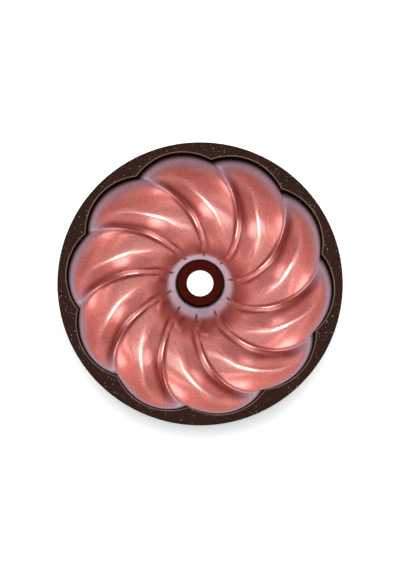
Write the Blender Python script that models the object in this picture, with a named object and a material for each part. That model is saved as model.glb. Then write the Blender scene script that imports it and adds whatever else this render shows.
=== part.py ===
"""Ring cake mould, one aluminium casting with ten swirled flutes, standing open side up.

The casting is a loft between unlike sections: a round flange, a scalloped lip, a trough whose
ridges and valleys swirl round the centre, and a plain tube with a round hole. One flute is worked
out as closed sections from the flange round the inside, through the tube and back along the
outside. The other flutes are turned copies of it, welded edge to edge.
"""
import math

import bmesh
import bpy
from mathutils import Matrix, Vector

MM = 0.001

# Overall sizes of the casting
RIM_DIAMETER = 260.0 * MM
OVERALL_HEIGHT = 82.0 * MM
FLUTE_COUNT = 10

# Wall and flange
WALL = 3.4 * MM
FLOOR_WALL = 4.4 * MM
FLANGE_THICKNESS = 4.5 * MM
FLANGE_OVERHANG = 4.6 * MM
RIM_ROUND = 1.6 * MM
UNDER_EDGE_ROUND = 0.6 * MM
LIP_ROUND = 1.0 * MM
QUARTER_SAGITTA = 1 - math.cos(math.pi / 4)

# Flutes: ridges between them start at the cusps of the lip, valleys run along their bottoms
SCALLOP_DEPTH = 8.3 * MM
RIDGE_HEIGHT = 12.0 * MM
RIDGE_DRAFT = math.radians(6.0)
VALLEY_DRAFT = math.radians(5.0)
RIDGE_HEEL_RADIUS = 43.0 * MM
VALLEY_HEEL_RADIUS = 34.0 * MM
RIDGE_FLOOR_SLOPE = math.radians(0.5)
VALLEY_FLOOR_SLOPE = math.radians(9.0)
LONGEST_FILLET_SHARE = 0.97
CREST_ROUND = 1.2 * MM
VALLEY_ROUND = 3.0 * MM
RIB_SHARE = 0.35
RIB_REACH = 4.0 * MM
WIDEST_ROUND_SHARE = 0.3
LAND_CUT = 1.2 * MM

# Underside: its grooves below the ridges are softer and shallower than the ridges
OUTSIDE_CREST_ROUND = 6.0 * MM
OUTSIDE_VALLEY_ROUND = 8.0 * MM
GROOVE_ON_FLOOR = 0.78
GROOVE_ON_WALL = 0.45
GROOVE_WALL_START, GROOVE_WALL_END = 85.0 * MM, 110.0 * MM
GROOVE_TUBE_END, GROOVE_TUBE_START = 32.0 * MM, 58.0 * MM
GROOVE_START_DEPTH = 40.0 * MM

# Swirl: how far the ridges turn about the axis from the lip to the tube, and where the valley lies
# between two ridges, as a share of the flute
FIRST_RIDGE_ANGLE = math.radians(5.0)
SWIRL_ANGLE = math.radians(38.5)
SWIRL_POWER = 0.6
SWIRL_SOFTNESS = 0.02
SWIRL_END_RADIUS = 30.0 * MM
SWIRL_START_DEPTH = 30.0 * MM
MIDDLE_RADIUS = 60.0 * MM
VALLEY_SHARE_AT_LIP = 0.48
VALLEY_SHARE_ON_WALL = 0.46
VALLEY_SHARE_MIDWAY = 0.44
VALLEY_SHARE_AT_TUBE = 0.69
VALLEY_WALL_RADIUS = 114.0 * MM
VALLEY_BEND_RADIUS = 102.0 * MM
VALLEY_KNEE_RADIUS = 98.0 * MM
VALLEY_END_RADIUS = 43.0 * MM
VALLEY_KNEE_EASE = 1.3

# Centre tube
TUBE_TOP_DIAMETER = 41.0 * MM
TUBE_HOLE_DIAMETER = 24.4 * MM
TUBE_DROP = 10.0 * MM
TUBE_DRAFT = math.radians(22.0)
TUBE_TOP_THICKNESS = 4.0 * MM
TUBE_EDGE_ROUND = 0.8 * MM
RIDGE_FOOT_RADIUS = 32.0 * MM
VALLEY_FOOT_RADIUS = 44.0 * MM

# Facets of the loft
COLUMN_SHARES = (0.0, 0.08, 0.22, 0.42, 0.66, 0.88)
WALL_STEPS = 3
HEEL_STEPS = 5
FLOOR_STEPS = 2
FOOT_STEPS = 5
TUBE_STEPS = 1
LIP_ROWS = 6

# Sizes that follow from those above
RIM_RADIUS = RIM_DIAMETER / 2
LOBE_RADIUS = RIM_RADIUS - FLANGE_OVERHANG - WALL
CUSP_RADIUS = LOBE_RADIUS - SCALLOP_DEPTH
FLUTE_ANGLE = 2 * math.pi / FLUTE_COUNT
VALLEY_FLOOR = FLOOR_WALL - LAND_CUT
RIDGE_FLOOR = VALLEY_FLOOR + RIDGE_HEIGHT
TUBE_TOP = OVERALL_HEIGHT - TUBE_DROP
TUBE_TOP_RADIUS = TUBE_TOP_DIAMETER / 2
HOLE_RADIUS = TUBE_HOLE_DIAMETER / 2

BROWN_COAT = (0.045, 0.026, 0.020, 1.0)
COPPER_COAT = (0.560, 0.200, 0.150, 1.0)


def mix(first, second, share):
    """The value that lies the given share of the way from first to second."""
    return first + (second - first) * share


def smooth_share(value):
    """A share clipped to 0..1 that starts and ends gently."""
    share = min(max(value, 0.0), 1.0)
    return share * share * (3 - 2 * share)


def tube_radius(height):
    """Radius of the tube's drafted outer wall at a height."""
    return TUBE_TOP_RADIUS + (TUBE_TOP - height) * math.tan(TUBE_DRAFT)


def lip_radius(share):
    """Radius of the scalloped lip, share 0 and 1 being the cusps and one half the lobe's middle."""
    return CUSP_RADIUS + SCALLOP_DEPTH * (1 - (2 * share - 1) ** 2)


def eased_in(radius, depth):
    """0 at the lip and 1 from SWIRL_START_DEPTH down, and 1 all the way up the tube."""
    return 1.0 if radius < MIDDLE_RADIUS else smooth_share(depth / SWIRL_START_DEPTH)


def valley_share(radius, depth):
    """Where the valley lies between two ridges at a radius, eased in below the lip."""
    outward = smooth_share((radius - VALLEY_BEND_RADIUS) / (VALLEY_WALL_RADIUS - VALLEY_BEND_RADIUS))
    inward = (VALLEY_KNEE_RADIUS - radius) / (VALLEY_KNEE_RADIUS - VALLEY_END_RADIUS)
    inward = min(max(inward, 0.0), 1.0) ** VALLEY_KNEE_EASE
    settled = mix(VALLEY_SHARE_MIDWAY, VALLEY_SHARE_AT_TUBE, inward)
    settled = mix(settled, VALLEY_SHARE_ON_WALL, outward)
    return mix(VALLEY_SHARE_AT_LIP, settled, eased_in(radius, depth))


def flank_weight(side, reach, on_valley, crest_round, valley_round, rib_share):
    """How far the surface has dropped from the ridge (0) to the valley (1) at a reach across a side.

    A hyperbola of crest_round starts the fall and one of valley_round ends it. The share rib_share
    of the height falls close to the crest, within about RIB_REACH, so the ridge is a thin rib.
    on_valley is the valley's radius and height on that row.
    """
    valley = valley_share(on_valley.x, OVERALL_HEIGHT - on_valley.y)
    width = (valley if side == 0 else 1 - valley) * FLUTE_ANGLE * on_valley.x
    crest = min(crest_round, WIDEST_ROUND_SHARE * width)
    bottom = min(valley_round, WIDEST_ROUND_SHARE * width)
    across = reach * width
    off_crest = math.hypot(across, crest) - crest
    farthest = math.hypot(width, crest) - crest
    ending = math.hypot(width, bottom) - math.hypot(width - across, bottom)
    fallen = (off_crest - across + ending) / (farthest - width + math.hypot(width, bottom) - bottom)
    rib = (1 - math.exp(-off_crest / RIB_REACH)) / (1 - math.exp(-farthest / RIB_REACH))
    return mix(fallen, rib, rib_share)


def groove_share(on_valley):
    """Depth of the underside's groove as a share of the ridge: less on the wall, none at the tube."""
    on_wall = smooth_share((on_valley.x - GROOVE_WALL_START) / (GROOVE_WALL_END - GROOVE_WALL_START))
    off_tube = smooth_share((on_valley.x - GROOVE_TUBE_END) / (GROOVE_TUBE_START - GROOVE_TUBE_END))
    off_lip = smooth_share((OVERALL_HEIGHT - on_valley.y) / GROOVE_START_DEPTH)
    return mix(GROOVE_ON_FLOOR, GROOVE_ON_WALL, on_wall) * off_tube * off_lip


def swirl(radius, depth):
    """Angle that the flutes have turned at a radius: fast near the lip, slower near the tube."""
    inward = (CUSP_RADIUS - radius) / (CUSP_RADIUS - SWIRL_END_RADIUS)
    softened = (inward + math.hypot(inward, SWIRL_SOFTNESS)) / 2
    return SWIRL_ANGLE * min(softened, 1.0) ** SWIRL_POWER * eased_in(radius, depth)


def rounded_path(corners, fillets, run_steps, turn_steps):
    """Points and outward normals along straight runs joined by fillet arcs, as (point, normal)."""
    path = []
    start = corners[0]
    for index, fillet in enumerate(fillets, start=1):
        before = (corners[index] - corners[index - 1]).normalized()
        after = (corners[index + 1] - corners[index]).normalized()
        turn = before.angle(after)
        setback = fillet * math.tan(turn / 2)
        arc_start = corners[index] - before * setback
        normal = Vector((-before.y, before.x))
        for step in range(run_steps[index - 1]):
            path.append((start.lerp(arc_start, step / run_steps[index - 1]), normal))
        centre = arc_start - normal * fillet
        for step in range(turn_steps[index - 1]):
            turned = normal.copy()
            turned.rotate(Matrix.Rotation(-turn * step / turn_steps[index - 1], 2))
            path.append((centre + turned * fillet, turned))
        start = corners[index] + after * setback
    heading = (corners[-1] - corners[-2]).normalized()
    normal = Vector((-heading.y, heading.x))
    for step in range(run_steps[-1] + 1):
        path.append((start.lerp(corners[-1], step / run_steps[-1]), normal))
    return path


def meet(first, heading, second, other_heading):
    """Where a line through first along heading meets a line through second along other_heading."""
    gap = second - first
    turn = heading.x * other_heading.y - heading.y * other_heading.x
    return first + heading * ((gap.x * other_heading.y - gap.y * other_heading.x) / turn)


def fit_fillets(corners, fillets):
    """The heel's and the foot's radii, made smaller together if the floor between is too short."""
    top, heel, foot, end = corners
    turns = [(heel - top).angle(foot - heel), (foot - heel).angle(end - foot)]
    needed = sum(fillet * math.tan(turn / 2) for fillet, turn in zip(fillets, turns))
    fitting = min(1.0, LONGEST_FILLET_SHARE * (foot - heel).length / needed)
    return [fillet * fitting for fillet in fillets]


def trough_path(lip, weight):
    """Section of the inside along a ridge (weight 0) or a valley (weight 1).

    It runs from lip, the radius at the lip, down the upright wall, round the heel, along the floor,
    round the foot and up the tube. The heel is an arc that touches the wall and the lowest height
    of the floor, which then rises inwards.
    """
    lowest = mix(RIDGE_FLOOR, VALLEY_FLOOR, weight)
    draft = mix(RIDGE_DRAFT, VALLEY_DRAFT, weight)
    slope = mix(RIDGE_FLOOR_SLOPE, VALLEY_FLOOR_SLOPE, weight)
    heel_radius = mix(RIDGE_HEEL_RADIUS, VALLEY_HEEL_RADIUS, weight)
    top = Vector((lip, OVERALL_HEIGHT - LIP_ROUND))
    down_wall = Vector((-math.sin(draft), -math.cos(draft)))
    along_floor = Vector((-math.cos(slope), math.sin(slope)))
    up_tube = Vector((-math.sin(TUBE_DRAFT), math.cos(TUBE_DRAFT)))
    tube_edge = TUBE_TOP - TUBE_EDGE_ROUND
    tube_end = Vector((tube_radius(tube_edge), tube_edge))

    centre_height = lowest + heel_radius
    centre_fall = top.y - centre_height
    centre_inset = (heel_radius + centre_fall * math.sin(draft)) / math.cos(draft)
    centre = Vector((lip - centre_inset, centre_height))
    floor_start = centre - Vector((math.sin(slope), math.cos(slope))) * heel_radius
    corners = [
        top,
        meet(top, down_wall, floor_start, along_floor),
        meet(floor_start, along_floor, tube_end, up_tube),
        tube_end,
    ]
    fillets = fit_fillets(corners, [heel_radius, mix(RIDGE_FOOT_RADIUS, VALLEY_FOOT_RADIUS, weight)])
    run_steps = (WALL_STEPS, FLOOR_STEPS, TUBE_STEPS)
    return rounded_path(corners, fillets, run_steps, (HEEL_STEPS, FOOT_STEPS))


def thicken(point, normal):
    """A point of the inside moved through the casting's wall to the outside."""
    return point + Vector((WALL * normal.x, FLOOR_WALL * normal.y))


def column_section(rim_share, side, reach):
    """Closed section of the casting on one column, as points (angle, radius, height).

    rim_share places the column on the rim. side is 0 on the way from a ridge down to the valley
    and 1 from the valley up to the next ridge. reach runs across that side from 0 at the ridge to
    1 in the valley.
    """
    def place(radius, height):
        depth = OVERALL_HEIGHT - height
        valley = valley_share(radius, depth)
        share = valley * reach if side == 0 else 1 - (1 - valley) * reach
        return (FIRST_RIDGE_ANGLE + FLUTE_ANGLE * share + swirl(radius, depth), radius, height)

    lip_share = VALLEY_SHARE_AT_LIP * reach if side == 0 else 1 - (1 - VALLEY_SHARE_AT_LIP) * reach
    lip = lip_radius(lip_share)
    lip_angle = FIRST_RIDGE_ANGLE + FLUTE_ANGLE * lip_share
    rim_angle = FIRST_RIDGE_ANGLE + FLUTE_ANGLE * rim_share
    top = OVERALL_HEIGHT
    under = OVERALL_HEIGHT - FLANGE_THICKNESS
    inside, outside = [], []
    for on_ridge, in_valley in zip(trough_path(lip, 0.0), trough_path(lip, 1.0)):
        ridge, ridge_normal = on_ridge
        valley, valley_normal = in_valley
        weight = flank_weight(side, reach, valley, CREST_ROUND, VALLEY_ROUND, RIB_SHARE)
        inside.append(place(*ridge.lerp(valley, weight)))
        softer = flank_weight(side, reach, valley, OUTSIDE_CREST_ROUND, OUTSIDE_VALLEY_ROUND, 0.0)
        weight = 1 - groove_share(valley) * (1 - softer)
        point = thicken(ridge, ridge_normal).lerp(thicken(valley, valley_normal), weight)
        outside.append((inside[-1][0], point.x, point.y))

    section = [(rim_angle, RIM_RADIUS, under + UNDER_EDGE_ROUND)]
    for turn in (0.0, 0.5, 1.0):
        bend = turn * math.pi / 2
        section.append((
            rim_angle,
            RIM_RADIUS - RIM_ROUND * (1 - math.cos(bend)),
            top - RIM_ROUND * (1 - math.sin(bend)),
        ))
    section.append((lip_angle, lip + LIP_ROUND, top))
    lip_middle = QUARTER_SAGITTA * LIP_ROUND
    section.append((lip_angle, lip + lip_middle, top - lip_middle))
    section += inside

    tube_angle = section[-1][0]
    crown = TUBE_TOP - TUBE_TOP_THICKNESS
    section.append((tube_angle, TUBE_TOP_RADIUS - TUBE_EDGE_ROUND, TUBE_TOP))
    section.append((tube_angle, HOLE_RADIUS, TUBE_TOP))
    section.append((tube_angle, HOLE_RADIUS, crown))
    section.append((tube_angle, tube_radius(crown) - WALL, crown))
    section += reversed(outside[1:-1])
    section.append((lip_angle, lip + WALL, under - UNDER_EDGE_ROUND))
    section.append((lip_angle, lip + WALL + UNDER_EDGE_ROUND, under))
    section.append((rim_angle, RIM_RADIUS - UNDER_EDGE_ROUND, under))
    return section


def to_point(angle, radius, height):
    """Angles run clockwise from the +Y axis, seen from above."""
    return Vector((radius * math.sin(angle), radius * math.cos(angle), height))


def flute_columns():
    """Columns across one flute, from its first ridge up to but not on the next ridge."""
    down = [(0, reach) for reach in COLUMN_SHARES]
    up = [(1, reach) for reach in reversed(COLUMN_SHARES[1:])]
    across = down + [(0, 1.0)] + up
    shares = [index / len(across) for index in range(len(across))]
    return [column_section(share, side, reach) for share, (side, reach) in zip(shares, across)]


def cut_lands(body):
    """Cut the flute bottoms flat in the plane z = 0, and close the cuts."""
    everything = list(body.verts) + list(body.edges) + list(body.faces)
    bmesh.ops.bisect_plane(
        body, geom=everything, dist=1e-6, plane_co=(0, 0, 0), plane_no=(0, 0, -1), clear_outer=True
    )
    open_edges = [edge for edge in body.edges if edge.is_boundary]
    lands = bmesh.ops.holes_fill(body, edges=open_edges, sides=0)["faces"]
    print(len(lands), "flat lands to stand on")


def new_material(name, colour, roughness, metallic):
    material = bpy.data.materials.new(name)
    material.use_nodes = True
    shader = material.node_tree.nodes["Principled BSDF"]
    shader.inputs["Base Color"].default_value = colour
    shader.inputs["Roughness"].default_value = roughness
    shader.inputs["Metallic"].default_value = metallic
    return material


def is_inside(row):
    """True for the loft's bands between the lip and the tube's top edge, which carry the copper coat."""
    path_rows = WALL_STEPS + HEEL_STEPS + FLOOR_STEPS + FOOT_STEPS + TUBE_STEPS
    return LIP_ROWS <= row < LIP_ROWS + path_rows


def make_mould_body(collection):
    """Loft the closed sections round the axis, flute by flute."""
    columns = []
    for flute in range(FLUTE_COUNT):
        for section in flute_columns():
            turn = flute * FLUTE_ANGLE
            columns.append([(angle + turn, radius, height) for angle, radius, height in section])

    body = bmesh.new()
    grid = [[body.verts.new(to_point(*place)) for place in section] for section in columns]
    rows = len(columns[0])
    for index, column in enumerate(grid):
        following = grid[(index + 1) % len(grid)]
        for row in range(rows):
            after = (row + 1) % rows
            face = body.faces.new((column[row], column[after], following[after], following[row]))
            face.material_index = 1 if is_inside(row) else 0
            face.smooth = True
    cut_lands(body)
    bmesh.ops.recalc_face_normals(body, faces=body.faces)

    mesh = bpy.data.meshes.new("mould_body")
    body.to_mesh(mesh)
    body.free()
    mesh.set_sharp_from_angle(angle=math.radians(35))
    mould = bpy.data.objects.new("mould_body", mesh)
    mesh.materials.append(new_material("speckled brown non-stick", BROWN_COAT, 0.45, 0.1))
    mesh.materials.append(new_material("copper non-stick", COPPER_COAT, 0.32, 0.7))
    collection.objects.link(mould)
    return mould


def main():
    for item in list(bpy.data.objects):
        bpy.data.objects.remove(item, do_unlink=True)
    collection = bpy.data.collections.new("ring_cake_mould")
    bpy.context.scene.collection.children.link(collection)
    mould = make_mould_body(collection)
    print(mould.name, "has", len(mould.data.polygons), "faces")


main()
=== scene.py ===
# %% [markdown]
# A ring cake mould is one aluminium casting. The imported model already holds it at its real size,
# with facets that are a few millimetres wide. This lesson makes the fine surface of the same casting
# as one grid of points, sprays it with its two non-stick coats, and lights it the way a packshot is lit.

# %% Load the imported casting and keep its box
import math

import bpy
import numpy as np
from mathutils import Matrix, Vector


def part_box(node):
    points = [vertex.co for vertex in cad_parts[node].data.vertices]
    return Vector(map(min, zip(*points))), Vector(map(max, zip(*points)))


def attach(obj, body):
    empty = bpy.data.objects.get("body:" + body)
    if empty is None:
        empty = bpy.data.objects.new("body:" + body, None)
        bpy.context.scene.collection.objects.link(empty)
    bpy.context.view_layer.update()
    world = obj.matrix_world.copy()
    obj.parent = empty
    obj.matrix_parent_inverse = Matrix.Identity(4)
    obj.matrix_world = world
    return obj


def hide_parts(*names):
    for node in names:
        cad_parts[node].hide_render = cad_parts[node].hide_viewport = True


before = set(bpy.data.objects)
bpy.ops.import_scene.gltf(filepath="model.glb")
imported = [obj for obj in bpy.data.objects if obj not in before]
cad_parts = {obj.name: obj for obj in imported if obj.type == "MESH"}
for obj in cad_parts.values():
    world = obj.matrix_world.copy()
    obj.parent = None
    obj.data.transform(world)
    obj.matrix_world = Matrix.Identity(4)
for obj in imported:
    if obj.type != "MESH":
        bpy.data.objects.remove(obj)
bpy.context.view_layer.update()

MM = 0.001
cast_low, cast_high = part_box("mould_body")
print("packed casting, mm:", [round(extent / MM, 1) for extent in cast_high - cast_low])

# %% [markdown]
# The rim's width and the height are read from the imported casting. The other sizes are the pattern
# maker's, in metres. The lip is scalloped: ten lobes meet in ten cusps, and each cusp starts a ridge.
# The tube in the middle ends below the rim, and widens on the way down so that the cake comes off it.

# %% The main sizes
RIM_INSET = 0.05 * MM
RIM_RADIUS = (cast_high.x - cast_low.x) / 2 - RIM_INSET
OVERALL_HEIGHT = cast_high.z
FLUTE_COUNT = 10
FLUTE_ANGLE = 2 * math.pi / FLUTE_COUNT

WALL = 3.4 * MM
FLANGE_OVERHANG = 4.6 * MM
SCALLOP_DEPTH = 8.3 * MM
LOBE_RADIUS = RIM_RADIUS - FLANGE_OVERHANG - WALL
CUSP_RADIUS = LOBE_RADIUS - SCALLOP_DEPTH

TUBE_TOP_DEPTH = 10.0 * MM
TUBE_TOP = OVERALL_HEIGHT - TUBE_TOP_DEPTH
TUBE_TOP_RADIUS = 20.5 * MM
TUBE_DRAFT = math.radians(22.0)


def mix(first, second, share):
    """The value that lies the given share of the way from first to second."""
    return first + (second - first) * share


def smooth_share(value):
    """A share that starts and ends gently: 3 v^2 - 2 v^3 of the value clipped to 0..1."""
    share = np.clip(value, 0.0, 1.0)
    return share * share * (3 - 2 * share)


def ramp(value, limits):
    """A gentle share that is 0 where the value is at the first limit and 1 where it is at the second."""
    start, end = limits
    return smooth_share((value - start) / (end - start))


def tube_radius(height):
    """Radius of the tube's outer wall: it widens by the tangent of its draft on the way down."""
    return TUBE_TOP_RADIUS + (TUBE_TOP - height) * math.tan(TUBE_DRAFT)


def lip_radius(share):
    """Radius of the lip: a parabola between two cusps, SCALLOP_DEPTH further out in its middle."""
    return CUSP_RADIUS + SCALLOP_DEPTH * (1 - (2 * share - 1) ** 2)


print("lip, mm: lobes", round(LOBE_RADIUS / MM, 1), "cusps", round(CUSP_RADIUS / MM, 1))

# %% [markdown]
# Seen from above, a flute is a curved wedge between two ridges. It could be drawn with curves and
# lofted by hand, but its lines follow simple rules, so each rule is a function of whole arrays: where
# the ridges have turned to at a radius, and where the valley lies between them. The turn is quick by
# the wall and slow by the tube. The lip itself isn't turned: the swirl eases in with the depth below it.

# %% Rules of the swirl
FIRST_RIDGE_ANGLE = math.radians(5.0)
SWIRL_ANGLE = math.radians(38.5)
SWIRL_POWER, SWIRL_SOFTNESS = 0.6, 0.02
SWIRL_END_RADIUS = 30.0 * MM
SWIRL_START_DEPTH = 30.0 * MM
MIDDLE_RADIUS = 60.0 * MM
VALLEY_SHARE_AT_LIP, VALLEY_SHARE_ON_WALL = 0.48, 0.46
VALLEY_SHARE_MIDWAY, VALLEY_SHARE_AT_TUBE = 0.44, 0.69
VALLEY_BEND_RADIUS, VALLEY_WALL_RADIUS = 102.0 * MM, 114.0 * MM
VALLEY_KNEE_RADIUS, VALLEY_END_RADIUS = 98.0 * MM, 43.0 * MM
VALLEY_KNEE_EASE = 1.3


def eased_in(radius, depth):
    """0 at the lip and 1 from SWIRL_START_DEPTH down, and 1 all the way up the tube."""
    return np.where(radius < MIDDLE_RADIUS, 1.0, smooth_share(depth / SWIRL_START_DEPTH))


def swirl(radius, depth):
    """Angle that a flute has turned: SWIRL_ANGLE times x^SWIRL_POWER, x running inwards from the cusp.

    x is softened to (x + sqrt(x^2 + s^2)) / 2, so it never falls below 0. It eases in with the depth.
    """
    inward = (CUSP_RADIUS - radius) / (CUSP_RADIUS - SWIRL_END_RADIUS)
    softened = np.minimum((inward + np.hypot(inward, SWIRL_SOFTNESS)) / 2, 1)
    return SWIRL_ANGLE * softened ** SWIRL_POWER * eased_in(radius, depth)


def valley_share(radius, depth):
    """Where the valley lies between two ridges: midway at the lip, closer to the next near the tube.

    From the knee inwards it moves by x^VALLEY_KNEE_EASE, x running from the knee to the inner end.
    """
    outward = ramp(radius, (VALLEY_BEND_RADIUS, VALLEY_WALL_RADIUS))
    inward = np.clip((VALLEY_KNEE_RADIUS - radius) / (VALLEY_KNEE_RADIUS - VALLEY_END_RADIUS), 0, 1)
    settled = mix(VALLEY_SHARE_MIDWAY, VALLEY_SHARE_AT_TUBE, inward ** VALLEY_KNEE_EASE)
    settled = mix(settled, VALLEY_SHARE_ON_WALL, outward)
    return mix(VALLEY_SHARE_AT_LIP, settled, eased_in(radius, depth))


# %% [markdown]
# The surface is a grid. Each of its columns runs from the rim over the lip, down the trough and up the
# tube, and belongs to one side of one flute: side 0 falls from a ridge to the valley, and side 1 climbs
# to the next ridge. The column's reach is 0 on the ridge and 1 in the valley. Evenly spaced columns
# would miss the narrow crests, so they crowd there and in the creases.

# %% Columns round the mould
COLUMNS_PER_SIDE = 22
CROWDING = 0.8

even = np.arange(COLUMNS_PER_SIDE) / COLUMNS_PER_SIDE
crowded = even - CROWDING * np.sin(2 * math.pi * even) / (2 * math.pi)
flute_reach = np.concatenate([crowded, 1 - crowded])
flute_side = np.repeat([0, 1], COLUMNS_PER_SIDE)
reach = np.tile(flute_reach, FLUTE_COUNT)[:, None]
side = np.tile(flute_side, FLUTE_COUNT)[:, None]
flute = np.repeat(np.arange(FLUTE_COUNT), 2 * COLUMNS_PER_SIDE)[:, None]
column_count = len(reach)
print(column_count, "columns round the mould")

# %% [markdown]
# Between a ridge and the valley the metal falls in a soft slope. On the ridge itself stands a narrow
# round bead, which gives the cake its sharp lines and catches the light. Both are formulas in the
# distance from the ridge, so the ten flutes need no drawing.

# %% The fall from ridge to valley
CREST_ROUND, VALLEY_ROUND = 2.2 * MM, 5.5 * MM
LARGEST_ROUND_SHARE = 0.3
RIB_REACH, RIB_FLATNESS = 2.7 * MM, 3


def flank_weight(crest_round, valley_round, rib_share, radius, height):
    """How far the surface has dropped, 0 on the ridge and 1 in the valley.

    Across a side of width L, a hyperbola of crest_round starts the fall and one of valley_round
    ends it, h(x, c) = sqrt(x^2 + c^2) - c. The share rib_share of the fall is a bead on the crest,
    1 - exp(-(x / RIB_REACH)^RIB_FLATNESS) over its value at L, with a flat round top and steep sides.
    """
    valley = valley_share(radius, OVERALL_HEIGHT - height)
    width = np.where(side == 0, valley, 1 - valley) * FLUTE_ANGLE * radius
    crest = np.minimum(crest_round, LARGEST_ROUND_SHARE * width)
    bottom = np.minimum(valley_round, LARGEST_ROUND_SHARE * width)
    across = reach * width
    off_crest, farthest = np.hypot(across, crest) - crest, np.hypot(width, crest) - crest
    ending = np.hypot(width, bottom) - np.hypot(width - across, bottom)
    fallen = (off_crest - across + ending) / (farthest - width + np.hypot(width, bottom) - bottom)
    bead = 1 - np.exp(-(across / RIB_REACH) ** RIB_FLATNESS)
    whole_bead = 1 - np.exp(-(width / RIB_REACH) ** RIB_FLATNESS)
    return mix(fallen, bead / whole_bead, rib_share)[:, :, None]


# %% [markdown]
# A column's section is a path in a plane of radius and height: down the upright wall, round the
# heel, along the floor, round the foot and up the tube. Straight runs joined by fillet arcs are what a
# pattern maker would cut, so the path is worked out in the same way.

# %% Straight runs joined by fillets
def unit(vector):
    """The vectors of an array, each divided by its own length."""
    return vector / np.linalg.norm(vector, axis=-1, keepdims=True)


def meeting_point(first, heading, second, other_heading):
    """Where two lines meet: the first moved along its heading by the ratio of two cross products."""
    gap = second - first
    turn = heading[:, 0] * other_heading[:, 1] - heading[:, 1] * other_heading[:, 0]
    way = (gap[:, 0] * other_heading[:, 1] - gap[:, 1] * other_heading[:, 0]) / turn
    return first + heading * way[:, None]


def rounded_path(corners, fillets, run_steps, turn_steps):
    """Points and outward normals along runs and arcs.

    An arc of radius f that turns by t starts f * tan(t / 2) before its corner, and its centre lies
    f from the path, on the trough's open side. corners has one row of points for each column.
    """
    points, normals = [], []
    start = corners[:, 0]
    for index, fillet in enumerate(fillets, start=1):
        before = unit(corners[:, index] - corners[:, index - 1])
        after = unit(corners[:, index + 1] - corners[:, index])
        turn = np.arccos(np.clip((before * after).sum(1), -1, 1))[:, None]
        setback = fillet[:, None] * np.tan(turn / 2)
        arc_start = corners[:, index] - before * setback
        normal = np.stack([-before[:, 1], before[:, 0]], axis=1)
        along = (np.arange(run_steps[index - 1]) / run_steps[index - 1])[None, :, None]
        points.append(start[:, None] + (arc_start - start)[:, None] * along)
        normals.append(np.broadcast_to(normal[:, None], points[-1].shape))

        bend = turn * (np.arange(turn_steps[index - 1]) / turn_steps[index - 1])
        swung = np.stack([
            normal[:, :1] * np.cos(bend) + normal[:, 1:] * np.sin(bend),
            normal[:, 1:] * np.cos(bend) - normal[:, :1] * np.sin(bend),
        ], axis=2)
        centre = arc_start - normal * fillet[:, None]
        points.append(centre[:, None] + swung * fillet[:, None, None])
        normals.append(swung)
        start = corners[:, index] + after * setback
    heading = unit(corners[:, -1] - corners[:, -2])
    normal = np.stack([-heading[:, 1], heading[:, 0]], axis=1)
    along = np.linspace(0, 1, run_steps[-1] + 1)[None, :, None]
    points.append(start[:, None] + (corners[:, -1] - start)[:, None] * along)
    normals.append(np.broadcast_to(normal[:, None], points[-1].shape))
    return np.concatenate(points, axis=1), np.concatenate(normals, axis=1)


# %% [markdown]
# The path is worked out twice in each column, once as if it ran along a ridge and once as if it ran
# along a valley. The ridge's floor lies higher and its heel is rounder. The trough then lies between
# the two, as far down as the fall from ridge to valley says.

# %% The trough of every column
LIP_ROUND = 1.0 * MM
TUBE_EDGE_ROUND = 0.8 * MM
FLOOR_WALL = 4.4 * MM
LAND_CUT = 1.2 * MM
FLUTE_DEPTH = 12.0 * MM
VALLEY_FLOOR = FLOOR_WALL - LAND_CUT
RIDGE_FLOOR = VALLEY_FLOOR + FLUTE_DEPTH
RIDGE_DRAFT, VALLEY_DRAFT = math.radians(6.0), math.radians(5.0)
RIDGE_SLOPE, VALLEY_SLOPE = math.radians(0.5), math.radians(9.0)
RIDGE_HEEL, VALLEY_HEEL = 43.0 * MM, 34.0 * MM
RIDGE_FOOT, VALLEY_FOOT = 32.0 * MM, 44.0 * MM
LONGEST_FILLET_SHARE = 0.97
RIB_HEIGHT, LARGEST_RIB_SHARE = 3.0 * MM, 0.4
SMALLEST_DROP = 0.1 * MM
WALL_STEPS, HEEL_STEPS, FLOOR_STEPS, FOOT_STEPS, TUBE_STEPS = 16, 30, 12, 28, 16


def fit_fillets(corners, fillets):
    """The heel's and the foot's radii, made smaller together where the floor between is too short.

    An arc of radius f that turns by t takes f * tan(t / 2) of the floor's run.
    """
    runs = [unit(corners[:, index + 1] - corners[:, index]) for index in range(3)]
    turns = [np.arccos((first * second).sum(1)) for first, second in zip(runs, runs[1:])]
    needed = sum(fillet * np.tan(turn / 2) for fillet, turn in zip(fillets, turns))
    floor_run = np.linalg.norm(corners[:, 2] - corners[:, 1], axis=1)
    fitting = np.minimum(1, LONGEST_FILLET_SHARE * floor_run / needed)
    return [fillet * fitting for fillet in fillets]


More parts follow.
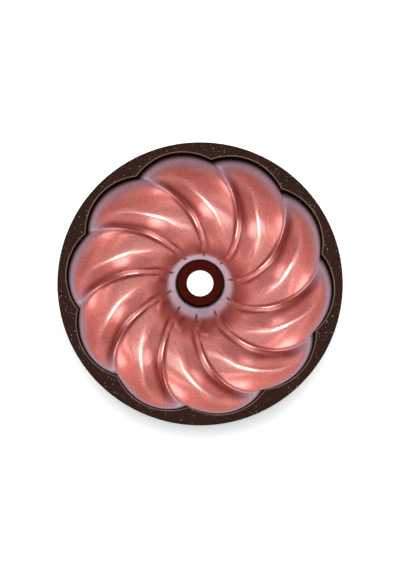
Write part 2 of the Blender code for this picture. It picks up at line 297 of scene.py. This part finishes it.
def trough(lip, weight):
    """Inside path of each column, and its normals, on a ridge (weight 0) or in a valley (weight 1).

    The heel's arc touches the wall and the lowest height of the floor.
    """
    lowest = mix(RIDGE_FLOOR, VALLEY_FLOOR, weight)
    draft = mix(RIDGE_DRAFT, VALLEY_DRAFT, weight)
    slope = mix(RIDGE_SLOPE, VALLEY_SLOPE, weight)
    heel = mix(RIDGE_HEEL, VALLEY_HEEL, weight)
    foot = mix(RIDGE_FOOT, VALLEY_FOOT, weight)
    wide = np.ones_like(lip)
    top = np.stack([lip, wide * (OVERALL_HEIGHT - LIP_ROUND)], axis=1)
    down_wall = np.stack([-wide * math.sin(draft), -wide * math.cos(draft)], axis=1)
    along_floor = np.stack([-wide * math.cos(slope), wide * math.sin(slope)], axis=1)
    up_tube = np.stack([-wide * math.sin(TUBE_DRAFT), wide * math.cos(TUBE_DRAFT)], axis=1)
    tube_edge = TUBE_TOP - TUBE_EDGE_ROUND
    tube_end = np.stack([wide * tube_radius(tube_edge), wide * tube_edge], axis=1)

    centre_height = lowest + heel
    fall = top[:, 1] - centre_height
    centre_radius = lip - (heel + fall * math.sin(draft)) / math.cos(draft)
    floor_start = np.stack([
        centre_radius - heel * math.sin(slope),
        wide * centre_height - heel * math.cos(slope),
    ], axis=1)
    corners = np.stack([
        top,
        meeting_point(top, down_wall, floor_start, along_floor),
        meeting_point(floor_start, along_floor, tube_end, up_tube),
        tube_end,
    ], axis=1)
    steps = (WALL_STEPS, FLOOR_STEPS, TUBE_STEPS), (HEEL_STEPS, FOOT_STEPS)
    return rounded_path(corners, fit_fillets(corners, [heel, foot]), *steps)


lip_share = np.where(side == 0, VALLEY_SHARE_AT_LIP * reach, 1 - (1 - VALLEY_SHARE_AT_LIP) * reach)
lip = lip_radius(lip_share)
ridge_path, ridge_normal = trough(lip[:, 0], 0.0)
valley_path, valley_normal = trough(lip[:, 0], 1.0)
valley_radius, valley_height = valley_path[:, :, 0], valley_path[:, :, 1]
drop = np.linalg.norm(ridge_path - valley_path, axis=2)
rib_share = np.minimum(RIB_HEIGHT / np.maximum(drop, SMALLEST_DROP), LARGEST_RIB_SHARE)
inside_weight = flank_weight(CREST_ROUND, VALLEY_ROUND, rib_share, valley_radius, valley_height)
inside = mix(ridge_path, valley_path, inside_weight)
print("trough path:", inside.shape[1], "points in each of", inside.shape[0], "columns")

# %% [markdown]
# A casting's wall is about as thick everywhere, so the underside lies one wall out along the paths'
# normals. Its grooves are softer and shallower than the flutes, which leaves the wall thick enough
# below each bead, and they fade out towards the flange and the tube.

# %% The underside
OUTSIDE_CREST_ROUND, OUTSIDE_VALLEY_ROUND = 6.0 * MM, 8.0 * MM
NO_RIB = 0.0
GROOVE_ON_FLOOR, GROOVE_ON_WALL = 0.78, 0.45
FLOOR_TO_WALL = (85.0 * MM, 110.0 * MM)
GROOVE_OFF_TUBE, GROOVE_BELOW_LIP = (32.0 * MM, 58.0 * MM), (0.0, 40.0 * MM)

walls = np.array([WALL, FLOOR_WALL])
groove = mix(GROOVE_ON_FLOOR, GROOVE_ON_WALL, ramp(valley_radius, FLOOR_TO_WALL))
groove = groove * ramp(valley_radius, GROOVE_OFF_TUBE)
groove = groove * ramp(OVERALL_HEIGHT - valley_height, GROOVE_BELOW_LIP)
outside_rounds = OUTSIDE_CREST_ROUND, OUTSIDE_VALLEY_ROUND
outside_weight = flank_weight(*outside_rounds, NO_RIB, valley_radius, valley_height)
outside_weight = 1 - groove[:, :, None] * (1 - outside_weight)
outside = mix(ridge_path + ridge_normal * walls, valley_path + valley_normal * walls, outside_weight)
print("underside, lowest point before the lands are cut, mm:", round(outside[:, :, 1].min() / MM, 2))


# %% [markdown]
# The section closes into a ring: flange, lip, trough, tube top, bore, and back along the underside at
# one wall's distance. A closed ring of closed sections has no open edge anywhere, as a casting must.
# Where the underside would reach below the table it is cut flat, which makes the lands it stands on.

# %% Stretches of the section
def turned_angle(radius, height):
    """Angle of a point from the +Y axis, clockwise: its share of the flute plus the swirl there."""
    depth = OVERALL_HEIGHT - height
    valley = valley_share(radius, depth)
    share = np.where(side == 0, valley * reach, 1 - (1 - valley) * reach)
    return FIRST_RIDGE_ANGLE + FLUTE_ANGLE * (flute + share) + swirl(radius, depth)


def arc(centre_radius, centre_height, round_radius, turns, steps):
    """A quarter round: round_radius times the cosine and the sine of each turn, in radians."""
    turn = np.linspace(*turns, steps)[None, :]
    return centre_radius + round_radius * np.cos(turn), centre_height + round_radius * np.sin(turn)


def stretch(angle, radius, height):
    """One stretch of the section as an array (column, point, 3) of angle, radius and height."""
    width = max(np.shape(part)[1] for part in (angle, radius, height))
    shape = (column_count, width)
    return np.stack([np.broadcast_to(part, shape) for part in (angle, radius, height)], axis=2)


def fixed(value):
    """A single number as an array that stretch can widen."""
    return np.array([[value]])


# %% The flange and the lip
FLANGE_THICKNESS = 4.5 * MM
RIM_ROUND = 1.6 * MM
UNDER_EDGE_ROUND = 0.6 * MM
RIM_STEPS, UNDER_EDGE_STEPS, LIP_STEPS, FLANGE_STEPS = 7, 4, 5, 9

top, under = OVERALL_HEIGHT, OVERALL_HEIGHT - FLANGE_THICKNESS
inner_edge = RIM_RADIUS - RIM_ROUND
rim_angle = FIRST_RIDGE_ANGLE + 2 * math.pi * np.arange(column_count)[:, None] / column_count
lip_angle = FIRST_RIDGE_ANGLE + FLUTE_ANGLE * (flute + lip_share)
lip_turn = np.linspace(math.pi / 2, math.pi, LIP_STEPS)[None, 1:-1]
across_flange = np.linspace(0, 1, FLANGE_STEPS)[None, 1:]

under_corner = RIM_RADIUS - UNDER_EDGE_ROUND, under + UNDER_EDGE_ROUND
under_round = arc(*under_corner, UNDER_EDGE_ROUND, (-math.pi / 2, 0), UNDER_EDGE_STEPS)
rim_round = arc(inner_edge, top - RIM_ROUND, RIM_ROUND, (0, math.pi / 2), RIM_STEPS)
flange_stretches = [
    stretch(rim_angle, *under_round),
    stretch(rim_angle, *rim_round),
    stretch(
        mix(rim_angle, lip_angle, across_flange),
        mix(inner_edge, lip + LIP_ROUND, across_flange),
        fixed(top),
    ),
    stretch(lip_angle, lip + LIP_ROUND * (1 + np.cos(lip_turn)), top - LIP_ROUND * (1 - np.sin(lip_turn))),
]

# %% The trough, the tube's cap and its bore
HOLE_RADIUS = 12.2 * MM
HOLE_EDGE_BREAK = 0.3 * MM
TUBE_TOP_THICKNESS = 4.0 * MM
CAP_START_ROUNDS = 1.2
TUBE_EDGE_STEPS, CAP_STEPS = 5, 6

inside_angle = turned_angle(inside[:, :, 0], inside[:, :, 1])
trough_stretch = stretch(inside_angle, inside[:, :, 0], inside[:, :, 1])

tube_angle = inside_angle[:, -1:]
crown = TUBE_TOP - TUBE_TOP_THICKNESS
crown_radius = tube_radius(crown) - WALL
edge_corner = TUBE_TOP_RADIUS - TUBE_EDGE_ROUND, TUBE_TOP - TUBE_EDGE_ROUND
edge_radius, edge_height = arc(*edge_corner, TUBE_EDGE_ROUND, (0, math.pi / 2), TUBE_EDGE_STEPS)
cap_start = TUBE_TOP_RADIUS - CAP_START_ROUNDS * TUBE_EDGE_ROUND
cap_radius = np.linspace(cap_start, HOLE_RADIUS + HOLE_EDGE_BREAK, CAP_STEPS)[None, :]
bore_height = np.array([[TUBE_TOP - HOLE_EDGE_BREAK, mix(TUBE_TOP, crown, 0.5), crown]])
tube_stretches = [
    stretch(tube_angle, edge_radius[:, 1:], edge_height[:, 1:]),
    stretch(tube_angle, cap_radius, fixed(TUBE_TOP)),
    stretch(tube_angle, fixed(HOLE_RADIUS), bore_height),
    stretch(tube_angle, fixed(mix(HOLE_RADIUS, crown_radius, 0.5)), fixed(crown)),
]

# %% Back along the underside, which is soft enough for every second point
backwards = slice(None, None, -2)
under_angle = inside_angle[:, backwards]
under_radius = outside[:, backwards, 0]
under_height = np.maximum(outside[:, backwards, 1], 0.0)
under_stretches = [
    stretch(tube_angle, fixed(crown_radius), fixed(crown)),
    stretch(under_angle[:, 1:-1], under_radius[:, 1:-1], under_height[:, 1:-1]),
    stretch(lip_angle, lip + WALL, fixed(under - UNDER_EDGE_ROUND)),
    stretch(lip_angle, lip + WALL + UNDER_EDGE_ROUND, fixed(under)),
    stretch(rim_angle, fixed(RIM_RADIUS - 2 * UNDER_EDGE_ROUND), fixed(under)),
]

section = np.concatenate(flange_stretches + [trough_stretch] + tube_stretches + under_stretches, axis=1)
trough_start = sum(part.shape[1] for part in flange_stretches)
trough_end = trough_start + trough_stretch.shape[1]
row_count = section.shape[1]
print(row_count, "points in a section,", 2 * row_count * column_count, "triangles")


# %% [markdown]
# The grid goes into the mesh as whole arrays. A grid of quads that closes both ways could be built
# face by face, but its corner numbers follow from the column and the row, so they are one formula.

# %% Put the grid into a mesh
def grid_faces(columns, rows):
    """Quads of a grid that closes both ways: each corner's number is column * rows + row."""
    column, row = np.meshgrid(np.arange(columns), np.arange(rows), indexing="ij")
    next_column, next_row = (column + 1) % columns, (row + 1) % rows
    corners = [
        column * rows + row,
        column * rows + next_row,
        next_column * rows + next_row,
        next_column * rows + row,
    ]
    return np.stack(corners, axis=-1).reshape(-1, 4)


def mesh_from_grid(name, points, faces):
    """A smooth-shaded mesh object at the origin, filled with foreach_set."""
    mesh = bpy.data.meshes.new(name)
    mesh.vertices.add(len(points))
    mesh.vertices.foreach_set("co", points.astype(np.float32).ravel())
    mesh.loops.add(faces.size)
    mesh.loops.foreach_set("vertex_index", faces.astype(np.int32).ravel())
    mesh.polygons.add(len(faces))
    mesh.polygons.foreach_set("loop_start", np.arange(len(faces), dtype=np.int32) * faces.shape[1])
    mesh.update(calc_edges=True)
    mesh.validate()
    mesh.shade_smooth()
    piece = bpy.data.objects.new(name, mesh)
    bpy.context.scene.collection.objects.link(piece)
    return piece


angle, radius, height = section[:, :, 0], section[:, :, 1], section[:, :, 2]
points = np.stack([radius * np.sin(angle), radius * np.cos(angle), height], axis=2).reshape(-1, 3)
casting = mesh_from_grid("cast_mould", points, grid_faces(column_count, row_count))
print("casting:", len(casting.data.vertices), "vertices")

# %% [markdown]
# The whole mould is sprayed dark brown first. Then the flutes are sprayed copper from above. The
# spray thins out up the wall and up the tube, and where only a mist of it settles, it looks lilac over
# the dark coat. Where the coats lie could be painted by hand. Here each is a mask, one number for
# every vertex, worked out from the point's place on the casting, so the coats follow the metal.

# %% Where the copper and its mist lie
COPPER_DOWN_WALL, COPPER_OUT_FROM_TUBE = (28.0 * MM, 60.0 * MM), (27.5 * MM, 33.5 * MM)
MIST_DOWN_WALL, MIST_DOWN_TUBE = (8.0 * MM, 26.0 * MM), (4.5 * MM, 7.5 * MM)

below_lip, below_tube_top = OVERALL_HEIGHT - height, TUBE_TOP - height
by_wall = radius > MIDDLE_RADIUS
copper = np.where(by_wall, ramp(below_lip, COPPER_DOWN_WALL), ramp(radius, COPPER_OUT_FROM_TUBE))
mist = np.where(by_wall, ramp(below_lip, MIST_DOWN_WALL), ramp(below_tube_top, MIST_DOWN_TUBE))

# %% [markdown]
# A thin line of painted shade runs along each valley, and a short one lies where each ridge's foot
# meets the tube. They stand for the shade in a groove, as colour, because a groove that narrow would
# need a much finer grid. Distances round the ring are measured from the nearest ridge or valley.

# %% Lines of painted shade in the creases
SIDE_0_BY_VALLEY, SIDE_0_BY_RIDGE = 0.375, 0.45
CREASE_WIDTH, CREASE_STRENGTH = (0.6 * MM, 0.15 * MM), 0.5
CREASE_INNER_END, CREASE_OUTER_END = (56.0 * MM, 64.0 * MM), (90.0 * MM, 76.0 * MM)
FOOT_WIDTH_SIDE_0, FOOT_WIDTH_SIDE_1 = (1.0 * MM, 0.0), (3.0 * MM, 1.5 * MM)
FOOT_INNER_END, FOOT_OUTER_END = (26.5 * MM, 28.0 * MM), (38.0 * MM, 32.0 * MM)
FOOT_STRENGTH = 0.9


def side_width(side_0_share):
    """Length round the ring of a point's side, if side 0 takes that share of the flute's angle."""
    return np.where(side == 0, side_0_share, 1 - side_0_share) * FLUTE_ANGLE * radius


from_valley = (1 - reach) * side_width(SIDE_0_BY_VALLEY)
from_ridge = reach * side_width(SIDE_0_BY_RIDGE)
crease_line = ramp(from_valley, CREASE_WIDTH)
crease_line = crease_line * ramp(radius, CREASE_INNER_END) * ramp(radius, CREASE_OUTER_END)
foot_line = np.where(side == 0, ramp(from_ridge, FOOT_WIDTH_SIDE_0), ramp(from_ridge, FOOT_WIDTH_SIDE_1))
foot_line = foot_line * ramp(radius, FOOT_INNER_END) * ramp(radius, FOOT_OUTER_END)
# painted shade along the valleys and at the ridges' feet
crease_shade = np.maximum(CREASE_STRENGTH * crease_line, FOOT_STRENGTH * foot_line)

# %% [markdown]
# The copper is painted deep red as shade, and as the red of light bounced between two walls: on
# both sides of a bead, in the wedge between a ridge and its lobe's wall, behind the ridge's tail,
# round the tube, and, more faintly, as painted shade down the rest of side 0.

# %% Where the copper is painted deep red as shade
BEAD_SIDE_START, BEAD_SIDE_END = (1.0 * MM, 2.6 * MM), (6.5 * MM, 3.0 * MM)
WEDGE_WIDTH, WEDGE_START = (20.0 * MM, 5.0 * MM), (52.0 * MM, 86.0 * MM)
TAIL_WIDTH, TAIL_START = (7.0 * MM, 1.0 * MM), (40.0 * MM, 60.0 * MM)
ROUND_TUBE = (54.0 * MM, 34.0 * MM)
LEE_START = (0.5 * MM, 4.5 * MM)
LEE_INNER_END, LEE_OUTER_END = (46.0 * MM, 60.0 * MM), (112.0 * MM, 102.0 * MM)
CORNER_STRENGTH, TAIL_STRENGTH, LEE_STRENGTH = 0.95, 0.6, 0.45

bead_side = ramp(from_ridge, BEAD_SIDE_START) * ramp(from_ridge, BEAD_SIDE_END)
wedge = np.where(side == 0, ramp(from_ridge, WEDGE_WIDTH), 0.0) * ramp(radius, WEDGE_START)
tail = np.where(side == 1, ramp(from_ridge, TAIL_WIDTH), 0.0) * ramp(radius, TAIL_START)
lee_side = np.where(side == 0, ramp(from_valley, LEE_START), 0.0)
lee_side = lee_side * ramp(radius, LEE_INNER_END) * ramp(radius, LEE_OUTER_END)
# the mask of painted shade: how far the copper is darkened to deep red
painted_shade = np.maximum.reduce([
    CORNER_STRENGTH * bead_side,
    CORNER_STRENGTH * wedge,
    CORNER_STRENGTH * ramp(radius, ROUND_TUBE),
    TAIL_STRENGTH * tail,
    LEE_STRENGTH * lee_side,
])

# %% [markdown]
# Three more masks finish the dark parts: the bare wall inside the lip, painted near-black as the
# shade it lies in, the rounded lip, whose thin edge shows the metal, and the cap of the tube. The
# trough's masks stay in its own rows.

# %% Give the masks to the mesh
INSIDE_LIP = (0.0, 2.0 * MM)
CAP_MASK_RADIUS = 21.0 * MM


def give_attribute(piece, name, values):
    """One number for each vertex of the piece, which a material can read by name."""
    layer = piece.data.attributes.new(name, "FLOAT", "POINT")
    layer.data.foreach_set("value", values.astype(np.float32).ravel())


row = np.arange(row_count)[None, :]
in_trough = (row >= trough_start) & (row < trough_end)
on_lip = (row >= trough_start - lip_turn.shape[1]) & (row < trough_start)
on_cap = (row >= trough_end) & (radius < CAP_MASK_RADIUS)
masks = {
    "copper": copper * in_trough,
    "mist": mist * in_trough,
    "crease_shade": crease_shade * in_trough,
    "painted_shade": painted_shade * in_trough,
    # painted shade: the wall inside the lip turns near-black
    "inner_wall_shade": ramp(below_lip, INSIDE_LIP) * in_trough,
    "lip_edge": np.ones_like(radius) * on_lip,
    "tube_cap": np.ones_like(radius) * on_cap,
}
for name, values in masks.items():
    give_attribute(casting, name, values)
mask_means = {name: round(float(values.mean()), 2) for name, values in masks.items()}
print("mean of each mask:", mask_means)


# %% [markdown]
# Colours are written as sRGB hex values, as a paint chart gives them. Blender's sockets take linear
# light, so one function turns the one into the other. One more adds a node with its settings and links.
# A colour Mix node has several sockets of one name, so they go by number, and the numbers are named.

# %% Helpers for colours and nodes
FACTOR, FIRST_COLOUR, SECOND_COLOUR = 0, 6, 7
MIXED_COLOUR = 2


def paint(hex_value):
    """An sRGB hex colour as linear light: ((c + 0.055) / 1.055)^2.4 above the dark end."""
    channels = [int(hex_value[place:place + 2], 16) / 255 for place in (1, 3, 5)]
    return tuple(c / 12.92 if c <= 0.04045 else ((c + 0.055) / 1.055) ** 2.4 for c in channels) + (1.0,)


def add(tree, kind, settings=None, links=None):
    """Add a node; settings are its properties or sockets, links are outputs that feed its sockets."""
    node = tree.nodes.new(kind)
    for name, value in (settings or {}).items():
        if isinstance(name, int) or name in node.inputs:
            node.inputs[name].default_value = value
        else:
            setattr(node, name, value)
    for name, output in (links or {}).items():
        tree.links.new(output, node.inputs[name])
    return node


# %% [markdown]
# Both coats are PTFE non-stick lacquers, sprayed on the blasted casting and baked. The brown one is
# matt and carries pale specks under half a millimetre wide, strewn at random: of the cells of a Voronoi
# pattern about one in five gets a speck. The copper one is filled with metal flake. To the eye it is
# about half a metal, with broad soft reflections, under a clear gloss that gives the thin white lines
# along the beads. Real flake is far too fine for the render, so its grain is drawn 0.9 mm wide.

# %% Specks and flake
SPECK_SPACING, FLAKE_WIDTH = 1.4 * MM, 0.9 * MM
SPECK_CORE, SPECK_EDGE = 0.10, 0.24
SPECKLESS_SHARE, SPECK_STRENGTH = 0.78, 0.95
DARKEST_FLAKE, BRIGHTEST_FLAKE = 0.80, 1.20

coat = bpy.data.materials.new("sprayed non-stick, copper over speckled brown")
coat.use_nodes = True
tree = coat.node_tree
place = add(tree, "ShaderNodeTexCoord").outputs["Object"]
cover = {name: add(tree, "ShaderNodeAttribute", {"attribute_name": name}).outputs["Fac"] for name in masks}

speck_cells = add(tree, "ShaderNodeTexVoronoi", {"Scale": 1 / SPECK_SPACING}, {"Vector": place})
speck_dots = add(tree, "ShaderNodeMapRange",
                 {"From Min": SPECK_CORE, "From Max": SPECK_EDGE, "To Min": 1.0, "To Max": 0.0},
                 {"Value": speck_cells.outputs["Distance"]})
speck_draw = add(tree, "ShaderNodeSeparateColor", links={"Color": speck_cells.outputs["Color"]})
speck_pick = add(tree, "ShaderNodeMapRange",
                 {"From Min": SPECKLESS_SHARE, "From Max": 1.0, "To Min": 0.0, "To Max": SPECK_STRENGTH},
                 {"Value": speck_draw.outputs["Red"]})
specks = add(tree, "ShaderNodeMath", {"operation": "MULTIPLY"},
             {0: speck_dots.outputs["Result"], 1: speck_pick.outputs["Result"]})

flake_cells = add(tree, "ShaderNodeTexVoronoi", {"Scale": 1 / FLAKE_WIDTH}, {"Vector": place})
flake_draw = add(tree, "ShaderNodeSeparateColor", links={"Color": flake_cells.outputs["Color"]})
flakes = add(tree, "ShaderNodeMapRange",
             {"From Min": 0.0, "From Max": 1.0, "To Min": DARKEST_FLAKE, "To Max": BRIGHTEST_FLAKE},
             {"Value": flake_draw.outputs["Red"]})

# %% The colours, one over another
BROWN = paint("#2B1B17")
# near-black brown, painted as the shade on the wall inside the lip
SHADED_BROWN = paint("#0E0605")
CAP_BROWN = paint("#370D08")
SPECK = paint("#F0DCC8")
LILAC = paint("#D2BBCA")
COPPER = paint("#E29085")
# deep red copper, painted as shade in corners, round the tube and on side 0
PAINTED_SHADE_COPPER = paint("#74120A")
# the painted shade of the creases and the ridges' feet
CREASE_SHADE_BROWN = paint("#45180F")
LIP_METAL = paint("#7E6458")

# the copper with its painted shade mixed in
copper_with_painted_shade = add(tree, "ShaderNodeMix",
                   {"data_type": "RGBA", FIRST_COLOUR: COPPER, SECOND_COLOUR: PAINTED_SHADE_COPPER},
                   {FACTOR: cover["painted_shade"]}).outputs[MIXED_COLOUR]
surface = add(tree, "ShaderNodeMix",
              {"data_type": "RGBA", FIRST_COLOUR: BROWN, SECOND_COLOUR: SHADED_BROWN},
              {FACTOR: cover["inner_wall_shade"]}).outputs[MIXED_COLOUR]
brown_layers = [(SPECK, specks.outputs["Value"]), (CAP_BROWN, cover["tube_cap"]), (LILAC, cover["mist"])]
for colour, where in brown_layers:
    surface = add(tree, "ShaderNodeMix", {"data_type": "RGBA", SECOND_COLOUR: colour},
                  {FACTOR: where, FIRST_COLOUR: surface}).outputs[MIXED_COLOUR]
coppered = {FACTOR: cover["copper"], FIRST_COLOUR: surface, SECOND_COLOUR: copper_with_painted_shade}
surface = add(tree, "ShaderNodeMix", {"data_type": "RGBA"}, coppered).outputs[MIXED_COLOUR]
surface = add(tree, "ShaderNodeMix", {"data_type": "RGBA", "blend_type": "MULTIPLY", FACTOR: 1.0},
              {FIRST_COLOUR: surface, SECOND_COLOUR: flakes.outputs["Result"]}).outputs[MIXED_COLOUR]
line_layers = [(CREASE_SHADE_BROWN, cover["crease_shade"]), (LIP_METAL, cover["lip_edge"])]
for colour, where in line_layers:
    surface = add(tree, "ShaderNodeMix", {"data_type": "RGBA", SECOND_COLOUR: colour},
                  {FACTOR: where, FIRST_COLOUR: surface}).outputs[MIXED_COLOUR]

# %% How the coats take the light
FLAKE_METAL = 0.55
BROWN_ROUGHNESS, COPPER_ROUGHNESS = 0.50, 0.37
GLOSS_ROUGHNESS, GLOSS_IOR = 0.19, 2.1

metal_cover = add(tree, "ShaderNodeMath", {"operation": "MAXIMUM"},
                  {0: cover["copper"], 1: cover["lip_edge"]}).outputs["Value"]
metal = add(tree, "ShaderNodeMapRange",
            {"From Min": 0.0, "From Max": 1.0, "To Min": 0.0, "To Max": FLAKE_METAL},
            {"Value": metal_cover})
rough = add(tree, "ShaderNodeMapRange",
            {"From Min": 0.0, "From Max": 1.0, "To Min": BROWN_ROUGHNESS, "To Max": COPPER_ROUGHNESS},
            {"Value": metal_cover})
shader = tree.nodes["Principled BSDF"]
tree.links.new(surface, shader.inputs["Base Color"])
tree.links.new(metal.outputs["Result"], shader.inputs["Metallic"])
tree.links.new(rough.outputs["Result"], shader.inputs["Roughness"])
tree.links.new(cover["copper"], shader.inputs["Coat Weight"])
shader.inputs["Coat Roughness"].default_value = GLOSS_ROUGHNESS
shader.inputs["Coat IOR"].default_value = GLOSS_IOR
shader.inputs["Specular IOR Level"].default_value = 0.0
casting.data.materials.append(coat)

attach(casting, "root")
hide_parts("mould_body")

# %% [markdown]
# The floor is a wide pale sheet. To the camera and to reflections it is plain white, and it still
# darkens where the mould keeps the light off, so a soft shadow is left. Seen through the tube it would
# be grey, so a spot of it below the mould's middle glows fully, and the hole shows white.

# %% Floor
FLOOR_SIDE = 6.0
PAPER_GLOW = 0.33
SPOT_RADIUS, SPOT_EDGE = 45.0 * MM, 50.0 * MM

half = FLOOR_SIDE / 2
floor_corners = [(-half, -half, 0.0), (half, -half, 0.0), (half, half, 0.0), (-half, half, 0.0)]
floor_mesh = bpy.data.meshes.new("floor")
floor_mesh.from_pydata(floor_corners, [], [(0, 1, 2, 3)])
floor = bpy.data.objects.new("floor", floor_mesh)
bpy.context.scene.collection.objects.link(floor)

floor_paint = bpy.data.materials.new("matt white paper")
floor_paint.use_nodes = True
paper = floor_paint.node_tree
rays = add(paper, "ShaderNodeLightPath").outputs
seen = rays["Is Camera Ray"]
for mirrored in ("Is Glossy Ray", "Is Transmission Ray"):
    seen = add(paper, "ShaderNodeMath", {"operation": "MAXIMUM"},
               {0: seen, 1: rays[mirrored]}).outputs["Value"]
spot = add(paper, "ShaderNodeTexCoord").outputs["Object"]
off_axis = add(paper, "ShaderNodeVectorMath", {"operation": "LENGTH"}, {0: spot}).outputs["Value"]
fall_off = {"From Min": SPOT_RADIUS, "From Max": SPOT_EDGE, "To Min": 1.0, "To Max": PAPER_GLOW}
strength = add(paper, "ShaderNodeMapRange", fall_off, {"Value": off_axis}).outputs["Result"]
glow = add(paper, "ShaderNodeMath", {"operation": "MULTIPLY"}, {0: seen, 1: strength}).outputs["Value"]
sheet = paper.nodes["Principled BSDF"]
sheet.inputs["Base Color"].default_value = paint("#F4F4F4")
sheet.inputs["Roughness"].default_value = 0.9
sheet.inputs["Emission Color"].default_value = (1, 1, 1, 1)
paper.links.new(glow, sheet.inputs["Emission Strength"])
floor_mesh.materials.append(floor_paint)

# %% [markdown]
# A glossy casting shows its lamps as highlights, so the lamps are what draws the beads. A large square
# one nearly straight above lights the trough and leaves a white line on the beads, whichever way they
# run. Two weak ones at the sides round off the flanks, and the world fills the shadows.

# %% Lights
LAMP_AIM = Vector((0, 0, 0.05))
LAMPS = [
    # name, position in metres, width and length in metres, power in watts
    ("softbox_left", (-0.95, 0.10, 1.15), (0.6, 1.3), 3.5),
    ("softbox_right", (0.95, 0.05, 1.15), (0.6, 1.3), 2.5),
    ("softbox_over", (0.0, 0.15, 1.50), (0.8, 0.8), 27),
]
WORLD_STRENGTH = 0.16

for name, position, size, power in LAMPS:
    lamp = bpy.data.lights.new(name, "AREA")
    lamp.shape = "RECTANGLE"
    lamp.size, lamp.size_y = size
    lamp.energy = power
    softbox = bpy.data.objects.new(name, lamp)
    softbox.location = position
    softbox.rotation_euler = (LAMP_AIM - Vector(position)).to_track_quat("-Z", "Y").to_euler()
    bpy.context.scene.collection.objects.link(softbox)

world = bpy.data.worlds.new("studio")
bpy.context.scene.world = world
world.use_nodes = True
world.node_tree.nodes["Background"].inputs["Color"].default_value = (1, 1, 1, 1)
world.node_tree.nodes["Background"].inputs["Strength"].default_value = WORLD_STRENGTH

# %% [markdown]
# A packshot of a mould is taken from nearly straight above, so that the whole trough shows. How far
# away the camera stands is read from the tube's top, which lies deeper than the rim and looks smaller.

# %% Camera
CAMERA_ABOVE_FLANGE = 1.10
CAMERA_ELEVATION = math.radians(82.9)
FRAME_HEIGHT = 0.5180
SENSOR_HEIGHT = 36.0
AIM = Vector((-0.08 * MM, -3.15 * MM, OVERALL_HEIGHT))

lens = bpy.data.cameras.new("camera")
lens.sensor_fit = "VERTICAL"
lens.sensor_height = SENSOR_HEIGHT
lens.lens = SENSOR_HEIGHT * CAMERA_ABOVE_FLANGE / FRAME_HEIGHT
camera = bpy.data.objects.new("camera", lens)
back = Vector((0, -math.cos(CAMERA_ELEVATION), math.sin(CAMERA_ELEVATION)))
camera.location = AIM + back * CAMERA_ABOVE_FLANGE
camera.rotation_euler = (-back).to_track_quat("-Z", "Y").to_euler()
bpy.context.scene.collection.objects.link(camera)
bpy.context.scene.camera = camera
bpy.context.scene.view_settings.view_transform = "Standard"
